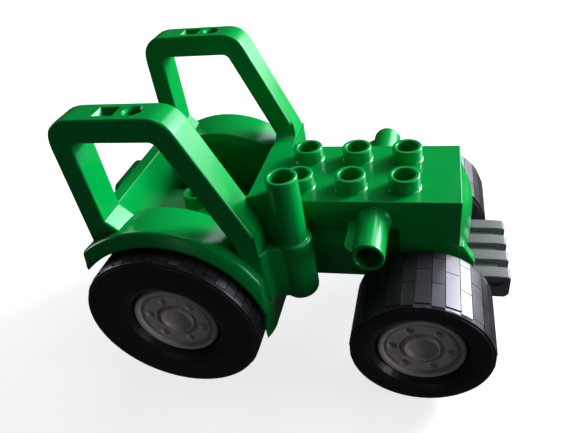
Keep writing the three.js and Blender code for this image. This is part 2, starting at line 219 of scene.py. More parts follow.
def settle(thing):
    """Bakes the object's modifiers into a plain mesh."""
    bpy.context.view_layer.update()
    graph = bpy.context.evaluated_depsgraph_get()
    mesh = bpy.data.meshes.new_from_object(thing.evaluated_get(graph))
    fresh = thing_from(thing.name + "_mesh", mesh)
    bpy.data.objects.remove(thing)
    return fresh


def cut(thing, cutter):
    modifier = thing.modifiers.new("cut", "BOOLEAN")
    modifier.operation = "DIFFERENCE"
    modifier.solver = "FAST"
    modifier.object = cutter
    result = settle(thing)
    bpy.data.objects.remove(cutter)
    return result


def merged(name, things):
    bm = bmesh.new()
    for thing in things:
        bm.from_mesh(thing.data)
    mesh = bpy.data.meshes.new(name)
    bm.to_mesh(mesh)
    bm.free()
    for thing in things:
        bpy.data.objects.remove(thing)
    return thing_from(name, mesh)


def finished(thing, material, body, angle=32):
    mesh = thing.data
    mesh.materials.clear()
    mesh.materials.append(material)
    for face in mesh.polygons:
        face.use_smooth = True
        face.material_index = 0
    mesh.set_sharp_from_angle(angle=math.radians(angle))
    weighted = thing.modifiers.new("even_normals", "WEIGHTED_NORMAL")
    weighted.keep_sharp = True
    weighted.weight = 80
    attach(thing, body)
    return thing


def rounded(corners, steps=5):
    """Outline with its corners rounded: each corner is (u, v) or (u, v, radius)."""
    outline = []
    count = len(corners)
    for i, corner in enumerate(corners):
        here = Vector(corner[:2])
        radius = corner[2] if len(corner) > 2 else 0
        before = (Vector(corners[i - 1][:2]) - here)
        after = (Vector(corners[(i + 1) % count][:2]) - here)
        if radius == 0 or before.length == 0 or after.length == 0:
            outline.append((here.x, here.y))
            continue
        half = before.angle(after) / 2
        reach = min(radius / math.tan(half), before.length * 0.48, after.length * 0.48)
        start = here + before.normalized() * reach
        end = here + after.normalized() * reach
        for k in range(steps + 1):
            t = k / steps
            point = start * (1 - t) ** 2 + here * 2 * t * (1 - t) + end * t ** 2
            outline.append((point.x, point.y))
    return outline


def tidy_outline(outline):
    """Drops repeated points and turns the outline anticlockwise."""
    kept = []
    for point in outline:
        here = Vector(point)
        if not kept or (here - kept[-1]).length > 0.03:
            kept.append(here)
    if (kept[0] - kept[-1]).length <= 0.03:
        kept.pop()
    area = sum(p.x * q.y - q.x * p.y for p, q in zip(kept, kept[1:] + kept[:1]))
    return kept if area > 0 else kept[::-1]


def inset(outline, distance):
    """Outline moved inwards by an even distance."""
    moved = []
    count = len(outline)
    for k, here in enumerate(outline):
        before = (here - outline[k - 1]).normalized()
        after = (outline[(k + 1) % count] - here).normalized()
        side = Vector((-before.y - after.y, before.x + after.x))
        spread_out = 1 + before.dot(after)
        moved.append(here + side * distance / max(spread_out, 0.7))
    return moved


def slab(name, outline, lo, hi, along, edge=0.5):
    """Flat outline pulled along Y or Z, with soft edges round both faces."""
    outline = tidy_outline(outline)
    count = len(outline)
    levels = []
    for k in range(5):
        turn = math.pi / 2 * k / 4
        levels.append((edge * (1 - math.sin(turn)), lo + edge * (1 - math.cos(turn))))
    levels += [(step, lo + hi - height) for step, height in reversed(levels)]
    points = []
    for step, height in levels:
        for u, v in inset(outline, step):
            points.append((u, v, height) if along == "Z" else (u, height, v))
    faces = []
    for level in range(len(levels) - 1):
        for k in range(count):
            n = (k + 1) % count
            a = level * count
            faces.append((a + k, a + n, a + count + n, a + count + k))
    flat = [Vector((p.x, p.y, 0)) for p in inset(outline, edge)]
    top = (len(levels) - 1) * count
    for i, j, k in tessellate_polygon([flat]):
        faces.append((i, j, k))
        faces.append((top + i, top + j, top + k))
    return outward(build(name, points, faces))


def lofted(name, points, stride):
    """Skin over equal rings of points laid one after another, closed by a face at each end."""
    rings = len(points) // stride
    faces = []
    for i in range(rings - 1):
        for k in range(stride):
            n = (k + 1) % stride
            a = i * stride
            faces.append((a + k, a + n, a + stride + n, a + stride + k))
    faces.append(tuple(range(stride)))
    faces.append(tuple((rings - 1) * stride + k for k in range(stride)))
    return outward(build(name, points, faces))


def brick(name, x0, x1, y0, y1, z0, z1, corner=0.5, edge=0.4):
    outline = [(x0, z0, corner), (x1, z0, corner), (x1, z1, corner), (x0, z1, corner)]
    return slab(name, rounded(outline, 3), y0, y1, "Y", edge)


def turned(name, profile, steps=48, closed=True):
    """Profile of (radius, height) turned about Z. A radius of 0 closes the piece on its axis."""
    points = []
    rings = []
    for radius, height in profile:
        ring = []
        count = 1 if radius == 0 else steps
        for k in range(count):
            angle = 2 * math.pi * k / steps
            ring.append(len(points))
            points.append((radius * math.cos(angle), radius * math.sin(angle), height))
        rings.append(ring)
    faces = []
    pairs = list(zip(rings, rings[1:]))
    if closed:
        pairs.append((rings[-1], rings[0]))
    for low, high in pairs:
        if len(low) == 1 and len(high) == 1:
            continue
        for k in range(steps):
            n = (k + 1) % steps
            if len(low) == 1:
                faces.append((low[0], high[n], high[k]))
            elif len(high) == 1:
                faces.append((low[k], low[n], high[0]))
            else:
                faces.append((low[k], low[n], high[n], high[k]))
    return outward(build(name, points, faces))


def placed(thing, x, y, z, turn=None):
    spin = Matrix.Rotation(turn[0], 4, turn[1]) if turn else Matrix.Identity(4)
    thing.data.transform(Matrix.Translation((x * MM, y * MM, z * MM)) @ spin)
    return thing


def ease(t):
    """Smooth step from 0 to 1."""
    t = min(1, max(0, t))
    return t * t * (3 - 2 * t)


# ---- body pieces --------------------------------------------------------------------------
def stud(name, x, y, z):
    profile = rounded([
        (0, -0.6), (STUD_R + 0.5, -0.6), (STUD_R + 0.5, -0.1), (STUD_R, 0.35, 0.5),
        (STUD_R, STUD_HEIGHT, 0.6), (STUD_BORE, STUD_HEIGHT, 0.45), (STUD_BORE, 0.3, 0.3), (0, 0.3),
    ], 5)
    return placed(turned(name, profile, 56, False), x, y, z)


def hood():
    """Wide upper box with a full-depth front end, over a narrower lower box."""
    w = HOOD_W
    low = w - RECESS
    flank = rounded([
        (HOOD_BACK, STEP_Z), (STEP_X, STEP_Z), (STEP_X, FRONT_BOTTOM, 0.6), (HOOD_FRONT, FRONT_BOTTOM, 0.6),
        (HOOD_FRONT, DECK, 0.4), (HOOD_BACK, DECK, 0.4),
    ], 4)
    upper = slab("hood_upper", flank, -w, w, "Y", 0.35)
    lower = brick("hood_lower", HOOD_BACK, HOOD_FRONT - 1, -low, low, HOOD_BOTTOM, DECK - 1, 0.5, 0.5)
    return [upper, lower]


def hood_nose():
    """Pillow-shaped nose, straight along the top and bowed forward below."""
    rows = [(57.0, 0), (54.8, 0.12), (53, 0.55), (51, 0.85), (48, 1), (40, 1), (36, 0.96), (34.2, 0.7)]
    rows.append((33.4, 0))
    columns = 28
    points = []
    for z, reach in rows:
        for k in range(columns + 1):
            u = -1 + 2 * k / columns
            y = u * (HOOD_W - 0.5)
            bow = 1 - abs(u) ** 2.2
            points.append((HOOD_FRONT - 0.3 + (HOOD_BULGE + 0.3) * reach * bow, y, z))
    base = len(points)
    for z, reach in rows:
        for k in range(columns + 1):
            y = (-1 + 2 * k / columns) * (HOOD_W - 0.5)
            points.append((HOOD_FRONT - 3, y, z))
    faces = []
    stride = columns + 1
    last = len(rows) - 1
    for r in range(last):
        for k in range(columns):
            a = r * stride + k
            faces.append((a, a + 1, a + stride + 1, a + stride))
            faces.append((base + a, base + a + stride, base + a + stride + 1, base + a + 1))
        for k in (0, columns):
            a = r * stride + k
            faces.append((a, base + a, base + a + stride, a + stride))
    for k in range(columns):
        for r in (0, last):
            a = r * stride + k
            faces.append((a, a + 1, base + a + 1, base + a))
    return outward(build("hood_nose", points, faces))


def nose_gusset(side):
    """Wedge-shaped fin at each lower corner of the nose."""
    outline = [(HOOD_FRONT - 2, 41.8), (HOOD_FRONT + 1.2, 41.4, 0.4), (HOOD_FRONT + 4.7, 35.4, 0.9),
               (HOOD_FRONT + 4.7, 31.4, 0.9), (HOOD_FRONT - 2, 31)]
    y = side * 13.9
    return slab("nose_gusset", rounded(outline, 4), y - 1.9, y + 1.9, "Y", 0.5)


def leg_sweep(side):
    """The deck sweeps up in a hollow curve into the inner face of each front leg."""
    points = []
    rows = 18
    back = HOOD_BACK + 0.5
    for i in range(rows + 1):
        t = max(0, (i - 2) / (rows - 2))
        y = SWEEP_Y - 6.4 + 3.2 * i if i < 2 else SWEEP_Y + (BAR_IN + 0.6 - SWEEP_Y) * t
        z = DECK - 0.04 + SWEEP_HEIGHT * (1 - math.sqrt(1 - t * t * 0.96))
        front = PANEL_X - SWEEP_LEAN * max(0, z - DECK)
        ring = [
            (back - 0.4, 0.8), (back, 0.1), (back + 0.8, 0), (front - 0.7, 0), (front - 0.15, 0.12),
            (front, 0.6), (min(front + 1.8, PANEL_X), 6), (back - 0.4, 6),
        ]
        for x, drop in ring:
            points.append((x, side * y, z - drop))
    return lofted("leg_sweep", points, 8)


def axle_arc(radius, start, end, steps):
    """Points on a circle about the rear axle, from one angle in degrees to another."""
    points = []
    for k in range(steps + 1):
        angle = math.radians(start + (end - start) * k / steps)
        x = REAR_AXLE[0] + radius * math.cos(angle)
        points.append((x, REAR_AXLE[1] + radius * math.sin(angle)))
    return points


def roll_bar(side):
    """Side frame of the cab: rounded outside and inside, with both feet on the mudguard."""
    outer = rounded([
        (-58.6, 50), (-58.3, 55, 3), (-56.2, BAR_TOP, 8.5), (-22.9, BAR_TOP, 7.5),
        (LEG_FRONT, 57.2, 14), (LEG_FRONT, LEG_BOTTOM),
    ], 8)
    front_foot = axle_arc(BAR_FOOT_R, 11.5, 36, 6)
    inner = rounded([
        (-13, 45.3), (-14.4, 54.5, 6), (-27.4, 87, 2.6), (-50.4, 87, 3.4), (-51.3, 61.8, 0.6),
        (-47.4, 57.4, 0.6), (-46.6, 56),
    ], 6)
    rear_foot = axle_arc(BAR_FOOT_R, 108, 132, 6)
    lo, hi = sorted((side * BAR_IN, side * BAR_OUT))
    bar = slab("roll_bar", outer + front_foot + inner + rear_foot, lo, hi, "Y", 0.75)
    return bar_pockets(bar, side)


def bar_pockets(bar, side):
    """A slot with a sloping rear end and a round hole in front of it."""
    middle = side * (BAR_IN + BAR_OUT) / 2
    floor = BAR_TOP - SLOT_DEPTH
    over = BAR_TOP + 1
    outline = [(SLOT_REAR, floor), (SLOT_FRONT, floor), (SLOT_FRONT, over), (SLOT_REAR - SLOT_RAMP, over)]
    slot = build_prism("slot", outline, middle - SLOT_HALF_WIDTH, middle + SLOT_HALF_WIDTH)
    bar = cut(bar, slot)
    r = PIN_HOLE_R
    top = SLOT_DEPTH + 2
    profile = [(0, 0), (r, 0), (r, 3.4), (r + 0.4, 3.9), (PIN_RIM_R, 4.1), (PIN_RIM_R, top), (0, top)]
    hole = placed(turned("hole", profile, 40, False), PIN_HOLE_X, middle, floor)
    return cut(bar, hole)


def build_prism(name, outline, y0, y1):
    count = len(outline)
    points = [(x, y0, z) for x, z in outline] + [(x, y1, z) for x, z in outline]
    faces = [tuple(range(count)), tuple(range(2 * count - 1, count - 1, -1))]
    for k in range(count):
        n = (k + 1) % count
        faces.append((k, n, count + n, count + k))
    return outward(build(name, points, faces))


def guard_line(radius, angle):
    """Point on an arch over the rear tyre. Behind the crown the arch runs out and sags."""
    turn = math.radians(min(angle, FENDER_LEAVE))
    x0 = REAR_AXLE[0] + radius * math.cos(turn)
    z0 = REAR_AXLE[1] + radius * math.sin(turn)
    if angle <= FENDER_LEAVE:
        return x0, z0
    run = (x0 - FENDER_BACK) * (angle - FENDER_LEAVE) / (FENDER_END - FENDER_LEAVE)
    sag = CROWN_SAG if radius > CROWN_FROM_R else LIP_SAG
    return x0 - run, z0 - run * FENDER_SLOPE - run ** 2 * sag


def fender(side):
    """Arched mudguard: crown rising outwards, round shoulder, lip flared over the tyre."""
    inner = FENDER_INNER_R
    section = rounded([
        (inner, CAB_W - 0.4), (FENDER_R, CAB_W, 0.8), (32.6, 28), (33.2, 35.8, 2.6),
        (31.3, 36.8, 2.2), (LIP_R + 0.1, FENDER_OUT, 0.5), (LIP_R - 0.9, FENDER_OUT - 0.1, 0.4),
        (29.0, FENDER_OUT - 2), (inner, 30),
    ], 5)
    steps = 80
    points = []
    for i in range(steps + 1):
        angle = FENDER_START + (FENDER_END - FENDER_START) * i / steps
        for radius, y in section:
            x, z = guard_line(radius, angle)
            points.append((min(x, PANEL_X - 0.3), side * y, z))
    return lofted("fender", points, len(section))


def front_panel(side):
    """Upright wall ahead of the rear tyre. Its outer edge flares into the mudguard's lip."""
    heights = [57.4, 52, 46, 41, 37.5, 34.5, 31.5, 28.5, 25.5, 22.5, 20.4, 19.4]
    flank = BAR_OUT - PANEL_FLANK
    points = []
    for z in heights:
        flare = ease((FLARE_TOP - z) / FLARE_DEPTH)
        edge = BAR_OUT + (FENDER_OUT - 0.3 - BAR_OUT) * flare
        back = PANEL_BACK - 1.4 * ease((z - 38) / 12)
        sweep = -1.2 * ease((34 - z) / 15)
        ring = []
        for k in range(9):
            ring.append((PANEL_X + sweep * 0.4, PANEL_IN + (flank - PANEL_IN) * k / 8))
        for k in range(1, 7):
            t = k / 6
            bend = (sweep - 0.9 * flare) * t * t
            ring.append((PANEL_X + sweep * 0.4 * (1 - t) + bend, flank + (edge - flank) * t))
        ring += [(back - 0.2 * flare, edge - 0.2), (back, edge - 1.5), (back, PANEL_IN)]
        points += [(x, side * y, z) for x, y in ring]
    return lofted("front_panel", points, 18)


def cab_seat():
    outline = rounded([
        (WALL_X + 2, 35), (SEAT_FRONT, 35), (SEAT_FRONT, SEAT_TOP, 1), (WALL_X + 2, SEAT_TOP),
    ], 4)
    return slab("seat", outline, -SEAT_W, SEAT_W, "Y", 0.6)


def cab_side(side):
    """Side wall of the cab, which follows the mudguard's arch."""
    lo, hi = sorted((side * CAB_W, side * (CAB_W + CAB_WALL)))
    foot = CAB_BOTTOM + 0.2
    outline = [(WALL_X + 1, foot)] + axle_arc(FENDER_R - 0.6, 131, 38, 24) + [(HOOD_BACK + 1.5, foot)]
    return slab("cab_side", outline, lo, hi, "Y", 0.2)


def cab_tub():
    low = CAB_BOTTOM
    w = CAB_W + CAB_WALL
    wall_w = BAR_IN + 1
    front_w = BAR_IN - 0.4
    front = HOOD_BACK + BULKHEAD_THICK
    shelf_w = TAB_W - 1
    pieces = [
        brick("rear_wall", WALL_X, WALL_X + WALL_THICK, -wall_w, wall_w, low, WALL_TOP, 0.6, 0.5),
        brick("cab_floor", WALL_X, HOOD_BACK + 2, -w, w, low, CAB_FLOOR, 0.3, 0.3),
        cab_seat(),
        brick("cab_front", HOOD_BACK, front, -front_w, front_w, low, DECK - 0.5, 0.3, 0.3),
        rear_tab(),
        stud("seat_stud", SEAT_STUD_X, 0, SEAT_TOP),
        brick("tab_shelf", TAB_X + 1, WALL_X + 1, -shelf_w, shelf_w, TAB_BOTTOM, SHELF_TOP, 0.5, 0.4),
    ]
    return pieces + [cab_side(side) for side in SIDES]


def rear_tab():
    """Upright tab with rounded corners, standing off the rear wall."""
    w = TAB_W
    outline = rounded([(-w, TAB_BOTTOM, 0.8), (w, TAB_BOTTOM, 0.8), (w, TAB_TOP, 3), (-w, TAB_TOP, 3)], 6)
    plate = slab("rear_tab", outline, TAB_X, TAB_X + TAB_THICK, "Z", 0.5)
    swap = Matrix(((0, 0, 1, 0), (1, 0, 0, 0), (0, 1, 0, 0), (0, 0, 0, 1)))
    plate.data.transform(swap)
    return plate


def stub_fin(side):
    """Thin level fin along the rear of the stub."""
    rear = STUB_X - FIN_REACH
    front = STUB_X - STUB_R + 0.6
    plan = rounded([
        (rear, HOOD_W - 2), (front, HOOD_W - 2), (front, STUB_END - 1.6),
        (rear + 2.1, STUB_END - 1.8, 1), (rear, STUB_END - 4.2, 2),
    ], 4)
    fin = slab("stub_fin", plan, STUB_Z - FIN_W, STUB_Z + FIN_W, "Z", 0.35)
    if side < 0:
        fin.data.transform(Matrix.Diagonal((1, -1, 1, 1)))
        fin.data.flip_normals()
    return fin


def stub(side):
    """Round tube standing out from the hood, open at its end, with its fin."""
    length = STUB_END - HOOD_W + 2
    profile = rounded([
        (0, -2), (STUB_R + 0.6, -2), (STUB_R + 0.6, 2.5, 0.4), (STUB_R, 3.0, 0.4),
        (STUB_R, length, 0.7), (STUB_BORE, length, 0.6), (STUB_BORE, 3.5), (0, 3.5),
    ], 5)
    tube = turned("stub", profile, 56, False)
    turn = (math.pi / 2, "X") if side < 0 else (-math.pi / 2, "X")
    placed(tube, STUB_X, side * (HOOD_W - 2), STUB_Z, turn)
    return [tube, stub_fin(side)]


def exhaust_pipe():
    height = PIPE_TOP - BASE_Z
    step = BASE_TOP - BASE_Z
    profile = rounded([
        (0, 0), (BASE_R, 0, 2.2), (BASE_R, step - 0.2, 0.7), (PIPE_R + 0.05, step + 0.25, 0.5),
        (PIPE_R, height - 3), (PIPE_R + 0.12, height, 0.9), (PIPE_BORE, height, 0.5),
        (PIPE_BORE, step + 4), (0, step + 4),
    ], 6)
    return placed(turned("exhaust", profile, 64, False), PIPE_X, PIPE_Y, BASE_Z)


def exhaust_foot():
    """Thick foot that fills the corner between the pipe's base and the panel behind it."""
    reach = PIPE_Y - BASE_R + 0.3
    inner = PIPE_Y + FOOT_REACH
    plan = rounded([
        (PANEL_X - 1, PIPE_Y - 8.6), (PANEL_X + 0.2, PIPE_Y - 8.6), (PANEL_X + 1, PIPE_Y - 6.2, 2.5),
        (PIPE_X - 1.5, reach, 3), (PIPE_X, reach), (PIPE_X, inner), (PANEL_X - 1, inner),
    ], 6)
    return slab("exhaust_foot", plan, BASE_Z + 1.6, BASE_TOP - 0.3, "Z", 0.7)


def exhaust_plate():
    """Thin plate that ties the pipe to the front leg. Its top edge rises forwards."""
    rear = PANEL_X - 4.6
    front = PIPE_X - PIPE_BORE - 0.4
    front_top = BRACKET_TOP + BRACKET_SLOPE * (front - rear)
    outline = [(rear, BRACKET_BOTTOM), (front, BRACKET_BOTTOM), (front, front_top), (rear, BRACKET_TOP)]
    return slab("exhaust_plate", outline, PIPE_Y - BRACKET_W, PIPE_Y + BRACKET_W, "Y", 0.3)


def exhaust():
    return [exhaust_pipe(), exhaust_foot(), exhaust_plate()]


def body_moulding(material):
    pieces = hood() + [hood_nose()] + cab_tub() + exhaust()
    for row in range(3):
        for side in SIDES:
            pieces.append(stud("stud", row * STUD_PITCH, side * STUD_PITCH / 2, DECK))
    for side in SIDES:
        pieces += stub(side)
        pieces += [nose_gusset(side), leg_sweep(side), roll_bar(side), fender(side), front_panel(side)]
    body = merged("tractor_body", pieces)
    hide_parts("body_shell")
    return finished(body, material, "tractor")


# ---- chassis ------------------------------------------------------------------------------
def nose_weight(y):
    """One upright weight plate under the nose."""
    outline = rounded([
        (44, WEIGHT_BOTTOM + 2), (52, WEIGHT_BOTTOM, 1), (WEIGHT_FRONT - 1.2, WEIGHT_BOTTOM, 1),
        (WEIGHT_FRONT, WEIGHT_BOTTOM + 1.4, 1), (WEIGHT_FRONT, WEIGHT_TOP - 1.0, 0.8),
        (WEIGHT_FRONT - 0.6, WEIGHT_TOP - 0.25, 0.6), (60.9, WEIGHT_TOP), (50.6, WEIGHT_TOP),
        (44, WEIGHT_TOP - 2),
    ], 4)
    return slab("nose_weight", outline, y - WEIGHT_WIDTH / 2, y + WEIGHT_WIDTH / 2, "Y", 0.35)


def weight_plates():
    """Four upright plates. The outer face of each outer plate has a square dent."""
    plates = []
    for i in range(4):
        y = (i - 1.5) * WEIGHT_PITCH
        plate = nose_weight(y)
        if i in (0, 3):
            face = y + math.copysign(WEIGHT_WIDTH / 2, y)
            lo, hi = sorted((face - math.copysign(1.2, y), face + math.copysign(1, y)))
            dent = [(57.9, 20.6, 0.6), (61.8, 20.6, 0.6), (61.8, 24.8, 0.6), (57.9, 24.8, 0.6)]
            plate = cut(plate, build_prism("dent", rounded(dent, 3), lo, hi))
        plates.append(plate)
    return plates


def bearing(axle, half_width):
    x, z = axle
    rear = x - BEARING_REACH
    front = x + BEARING_REACH
    return brick("bearing", rear, front, -half_width, half_width, z - 4, BEARING_TOP, 1.2, 0.6)


def chassis_frame(material):
    w = BEAM_W
    core_top = WEIGHT_TOP - 1.6
    pieces = weight_plates() + [
        brick("weight_core", 43, 61.4, -12, 12, WEIGHT_BOTTOM + 1, core_top, 0.6, 0.4),
        brick("beam", BEAM_BACK, BEAM_FRONT, -w, w, BEAM_BOTTOM, BEAM_TOP, 0.6, 0.5),
        bearing(FRONT_AXLE, w),
        bearing(REAR_AXLE, REAR_BEARING_W),
        brick("hitch_arm", HITCH_BACK, BEAM_BACK + 5, -HITCH_W, HITCH_W, HITCH_BOTTOM, BEAM_TOP, 0.6, 0.5),
    ]
    frame = merged("chassis_frame", pieces)
    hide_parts("chassis")
    return finished(frame, material, "tractor")


# ---- wheels -------------------------------------------------------------------------------
FRONT_WHEEL = {
    "end": "front", "axle": FRONT_AXLE, "radius": FRONT_R, "hub": FRONT_HUB_R,
    "outer": FRONT_OUT, "width": FRONT_OUT - FRONT_IN,
    "units": 16, "start": 5.6, "groove": 0.12, "depth": 0.28, "bolt_phase": 114.6,
    "strips": [(0.46, [10.0, 20.2], 1.3), (0.54, [15.2], 2.1)],
}
REAR_WHEEL = {
    "end": "rear", "axle": REAR_AXLE, "radius": REAR_R, "hub": REAR_HUB_R,
    "outer": REAR_OUT, "width": REAR_OUT - REAR_IN,
    "units": 24, "start": 9, "groove": 0.14, "depth": 0.32, "bolt_phase": 105.5,
    "strips": [(0.5, [4.2, 7.9, 11.6, 15.3], 1.3), (0.5, [6.0, 9.7, 13.4], 2.1)],
}


def wheel_place(wheel, side):
    x, z = wheel["axle"]
    turn = Matrix.Rotation(math.pi / 2 if side < 0 else -math.pi / 2, 4, "X")
    return Matrix.Translation((x * MM, side * wheel["outer"] * MM, z * MM)) @ turn


def tread_lines(wheel):
    """Lines round one tread unit: distance, cuts, shoulder, offset from the strip's middle, half, low."""
    groove = wheel["groove"]
    wall = groove * 0.4
    period = 2 * math.pi * wheel["radius"] / wheel["units"]
    lines = []
    start = 0
    for share, cuts, shoulder in wheel["strips"]:
        length = share * period
        half = length / 2
        for distance, low in ((groove - wall, 1), (groove, 0), (half, 0), (length - groove, 0),
                              (length - groove + wall, 1)):
            lines.append((start + distance, cuts, shoulder, distance - half, half, low))
        start += length
    return lines


def tread_stations(wheel):
    """Depths across the tread, from the outer face inwards, where the mesh needs a line."""
    groove = wheel["groove"]
    wall = groove * 0.4
    stations = [0.5, 0.9, 1.3, 1.7, 2.1]
    for share, cuts, shoulder in wheel["strips"]:
        for c in cuts:
            stations += [c - groove, c - groove + wall, c + groove - wall, c + groove]
    return sorted(stations + [wheel["width"] - 1.6, wheel["width"] - 0.9])


def tread_point(wheel, c, line):
    """Radius of the tread at one depth c on one line, with its grooves and shoulder steps."""
    radius = wheel["radius"]
    distance, cuts, shoulder, offset, half, low = line
    if c < SHOULDER_WIDTH:
        return radius - SHOULDER_DROP - 0.6 * (SHOULDER_WIDTH - c) ** 2
    flat = 1 - TREAD_FLATNESS * (1 - math.cos(half / radius) / math.cos(offset / radius))
    drop = low * wheel["depth"]
    if any(abs(c - cut_at) < wheel["groove"] * 0.8 for cut_at in cuts):
        drop = wheel["depth"]
    if c < shoulder - 0.05:
        drop = max(drop, SHOULDER_DROP)
    end = min(1, (wheel["width"] - c) / 1.2)
    return radius * flat - drop * end - 0.5 * (1 - end)


def tyre(name, wheel, material, place):
    """Tyre about Z: outer face at height 0, inner face at -width, staggered blocks round its tread."""
    radius = wheel["radius"]
    width = wheel["width"]
    period = 2 * math.pi * radius / wheel["units"]
    seat = wheel["hub"] + TYRE_SEAT_GAP
    outer_wall = rounded([
        (seat + 0.1, -4.2), (seat + 0.15, -3.2, 0.6), (seat + 1.7, -1.0, 1.6), (seat + 3.4, -0.1, 1.8),
        (radius - 2.4, 0, 1), (radius - 1.3, -0.12, 0.6), (radius - 1.05, -0.4),
    ], 5)
    inner_wall = [(r, -width - z) for r, z in reversed(outer_wall)]
    stations = tread_stations(wheel)
    lines = tread_lines(wheel)
    points = []
    for unit in range(wheel["units"]):
        for line in lines:
            angle = (unit * period + line[0]) / radius + math.radians(wheel["start"])
            tread = [(tread_point(wheel, c, line), -c) for c in stations]
            for r, z in outer_wall + tread + inner_wall:
                points.append((r * math.cos(angle), r * math.sin(angle), z))
    stride = len(outer_wall) + len(stations) + len(inner_wall)
    count = wheel["units"] * len(lines)
    faces = []
    for i in range(count):
        n = (i + 1) % count
        for k in range(stride):
            m = (k + 1) % stride
            faces.append((i * stride + k, n * stride + k, n * stride + m, i * stride + m))
    thing = outward(build(name, points, faces))
    thing.data.transform(place)
    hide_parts(name.replace("_skin", ""))
    return finished(thing, material, wheel["end"] + "_wheels", 20)


def hub_profile(radius, width):
    """Half section of a wheel centre, from the back of its sleeve round to the middle of its dish."""
    d = HUB_INSET
    rim = rounded([
        (1.6, -width - 1.0), (4, -width - 1.0, 0.4), (4, -width + 4), (radius - 1.8, -width + 4),
        (radius - 1.8, -width + 0.8), (radius, -width + 0.8, 0.3), (radius, -d + 0.5, 0.4),
        (radius - 0.5, -d + 0.9, 0.3), (radius - 1.5, -d + 0.7, 0.3), (radius - 1.85, -d - 1.0, 0.3),
        (radius - 2.5, -d - 1.0, 0.3), (radius - 2.8, -d - 0.1, 0.2), (BOLT_CIRCLE + 1.7, -d - 0.12),
    ], 4)
    steps = 14
    face = [(BOLT_CIRCLE + 1.6 - 3.3 * k / steps, -d - 0.12) for k in range(steps + 1)]
    boss = rounded([
        (6.75, -d - 0.15), (6.65, -d - 0.2, 0.1), (6.35, -d - 1.4, 0.25), (5.6, -d - 1.4, 0.3),
        (5.3, -d + 0.25, 0.3), (4.7, -d + 0.25, 0.4), (4.0, -d - 1.1, 0.9), (1.6, -d - 1.7, 1.2),
        (0, -d - 1.75), (0, -d - 5), (1.6, -d - 5),
    ], 5)
    return rim + face + boss


def hub(name, wheel, material, place):
    """Wheel centre: rim with a groove inside it, six bolt recesses, raised boss with a dished middle."""
    thing = turned(name, hub_profile(wheel["hub"], wheel["width"]), 180, True)
    bolts = [math.radians(wheel["bolt_phase"] + 60 * k) for k in range(6)]
    centres = [Vector((BOLT_CIRCLE * math.cos(a), BOLT_CIRCLE * math.sin(a))) for a in bolts]
    for vertex in thing.data.vertices:
        spot = Vector(vertex.co[:2]) / MM
        near = min((spot - centre).length for centre in centres)
        if vertex.co.z > (-HUB_INSET - 0.5) * MM and near < BOLT_R:
            vertex.co.z -= BOLT_DEPTH * ease((BOLT_R - near) / BOLT_WALL) * MM
    thing.data.transform(place)
    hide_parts(name.replace("_skin", ""))
    return finished(thing, material, wheel["end"] + "_wheels", 40)


def wheels(rubber, plastic):
    for wheel in (FRONT_WHEEL, REAR_WHEEL):
        for side in SIDES:
            name = wheel["end"] + ("_right" if side < 0 else "_left")
            place = wheel_place(wheel, side)
            tyre(name + "_tyre_skin", wheel, rubber, place)
            hub(name + "_hub_skin", wheel, plastic, place)


# ---- materials ----------------------------------------------------------------------------
def shader(name):
    material = bpy.data.materials.new(name)
    material.use_nodes = True
    tree = material.node_tree
    surface = tree.nodes["Principled BSDF"]
    place = tree.nodes.new("ShaderNodeTexCoord")
    return material, tree, surface, place.outputs["Object"]


def noise(tree, where, scale, detail=3.0):
    node = tree.nodes.new("ShaderNodeTexNoise")
    node.inputs["Scale"].default_value = scale
    node.inputs["Detail"].default_value = detail
    tree.links.new(where, node.inputs["Vector"])
    return node.outputs["Fac"]


def spread(tree, value, low, high):
    node = tree.nodes.new("ShaderNodeMapRange")
    node.inputs["From Min"].default_value = 0.3
    node.inputs["From Max"].default_value = 0.7
    node.inputs["To Min"].default_value = low
    node.inputs["To Max"].default_value = high
    tree.links.new(value, node.inputs["Value"])
    return node.outputs["Result"]


def tint(tree, value, first, second):
    node = tree.nodes.new("ShaderNodeMix")
    node.data_type = "RGBA"
    node.inputs[6].default_value = (*first, 1)
    node.inputs[7].default_value = (*second, 1)
    tree.links.new(value, node.inputs[0])
    return node.outputs[2]


def relief(tree, surface, layers):
    """Stacks bump layers of (height, strength, distance in mm)."""
    last = None
    for height, strength, distance in layers:
        node = tree.nodes.new("ShaderNodeBump")
        node.inputs["Strength"].default_value = strength
        node.inputs["Distance"].default_value = distance * MM
        tree.links.new(height, node.inputs["Height"])
        if last:
            tree.links.new(last, node.inputs["Normal"])
        last = node.outputs["Normal"]
    tree.links.new(last, surface.inputs["Normal"])


def green_plastic():
    material, tree, surface, where = shader("green_plastic")
    patches = noise(tree, where, 45)
    colour = tint(tree, patches, (0.0, 0.25, 0.038), (0.0, 0.3, 0.05))
    tree.links.new(colour, surface.inputs["Base Color"])
    tree.links.new(spread(tree, noise(tree, where, 160, 5), 0.17, 0.25), surface.inputs["Roughness"])
    surface.inputs["IOR"].default_value = 1.5
    surface.inputs["Specular Tint"].default_value = (0.65, 1.0, 0.88, 1)
    relief(tree, surface, [(noise(tree, where, 60, 1), 0.25, 0.25), (noise(tree, where, 900, 2), 0.08, 0.05)])
    return material


def dark_grey_plastic():
    material, tree, surface, where = shader("dark_grey_plastic")
    colour = tint(tree, noise(tree, where, 80), (0.12, 0.12, 0.128), (0.155, 0.157, 0.165))
    tree.links.new(colour, surface.inputs["Base Color"])
    tree.links.new(spread(tree, noise(tree, where, 300, 5), 0.36, 0.5), surface.inputs["Roughness"])
    relief(tree, surface, [(noise(tree, where, 1400, 2), 0.2, 0.08)])
    return material


